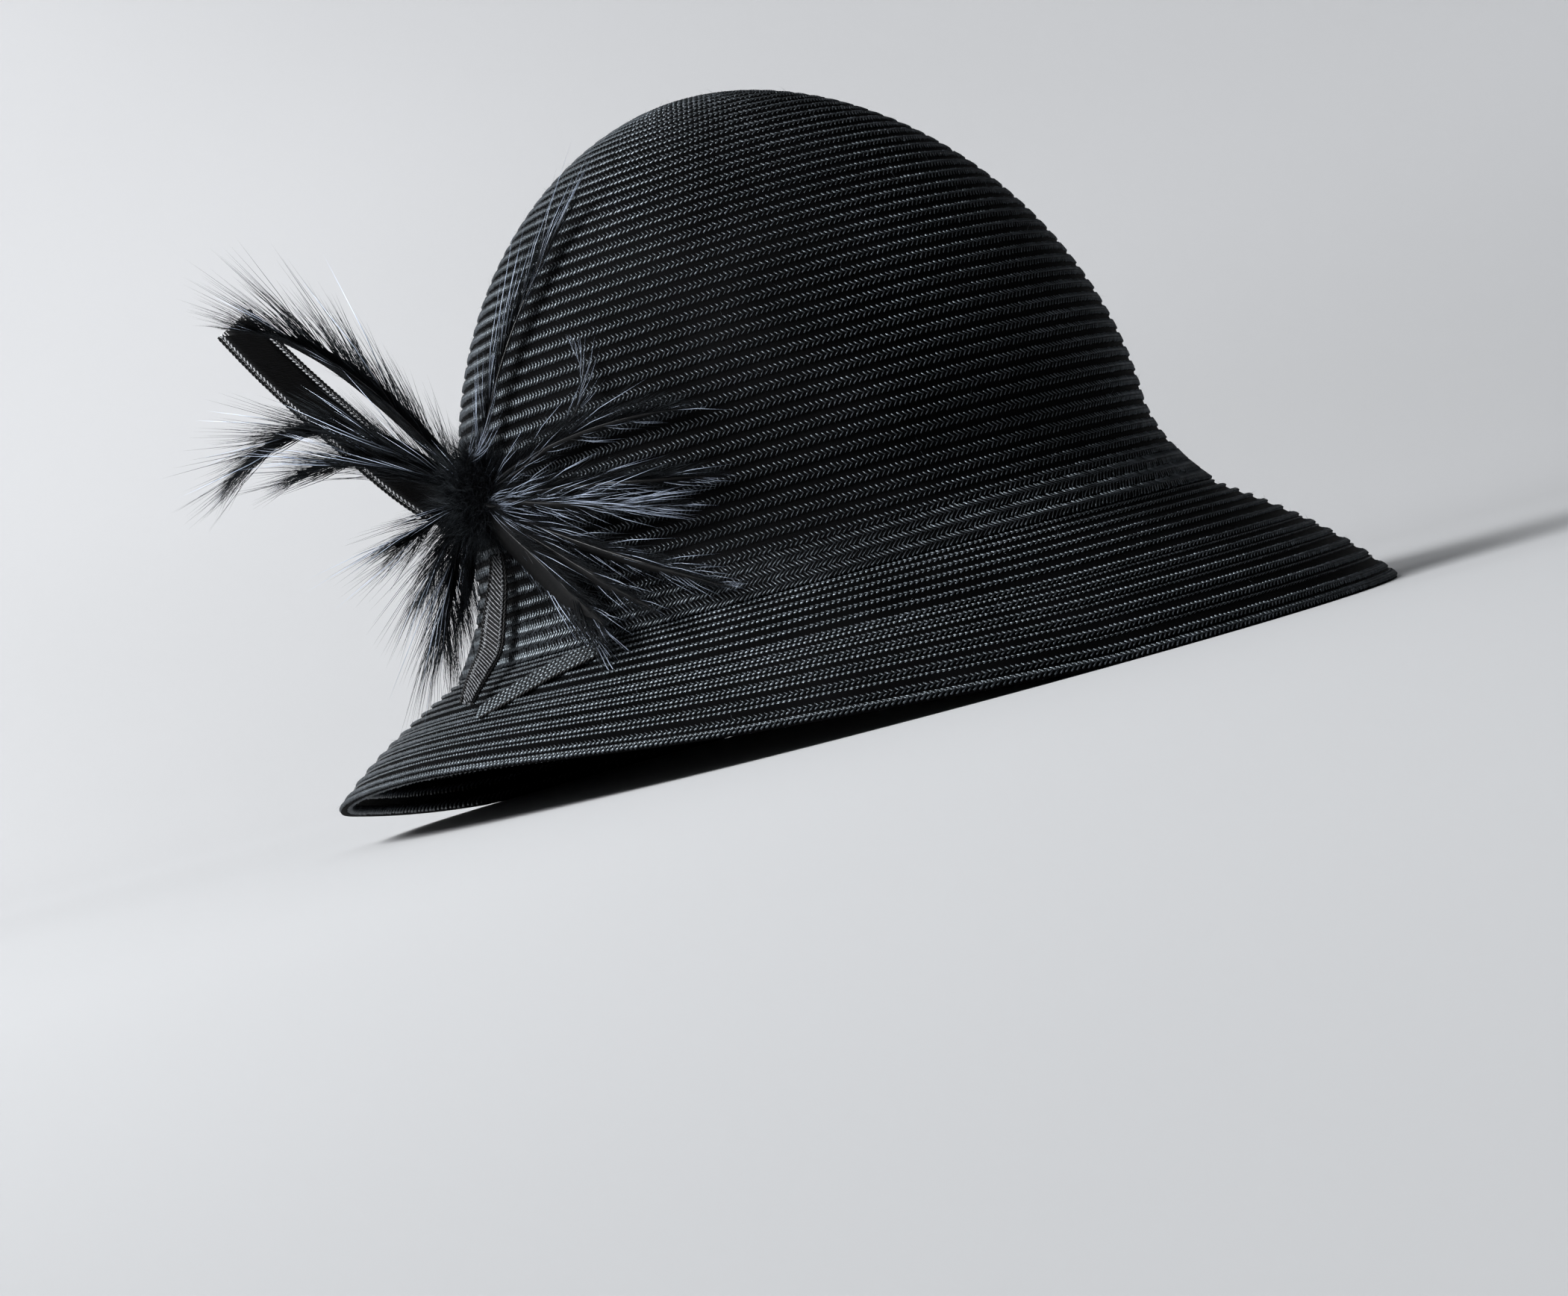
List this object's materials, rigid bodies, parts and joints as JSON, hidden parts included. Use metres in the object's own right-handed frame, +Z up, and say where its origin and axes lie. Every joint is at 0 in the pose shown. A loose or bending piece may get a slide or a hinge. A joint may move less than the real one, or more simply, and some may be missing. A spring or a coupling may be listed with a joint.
{
  "type": "straw hat with feather trim",
  "caption": "Black sewn-braid straw hat with a rounded dome crown, a down-sloping brim and a side trim of hackle feathers and sheer corded braid strips.",
  "frame": {"origin": "floor level under the middle of the hat's outline, trim included", "axes": "+Z up, the front of the hat faces -Y, the wearer's left is +X and the trim is on the -X side"},
  "size_m": [0.29, 0.315, 0.1729],
  "materials": {
    "straw": "black plaited straw braid with a soft shine",
    "feather": "black hackle feather",
    "sheer_braid": "black sheer straw braid with corded edges"
  },
  "bodies": {
    "root": {"crown": "straw", "brim": "straw", "feather_spray": "feather", "braid_tail": "sheer_braid", "braid_leaf": "sheer_braid", "braid_band": "sheer_braid"}
  },
  "joints": []
}
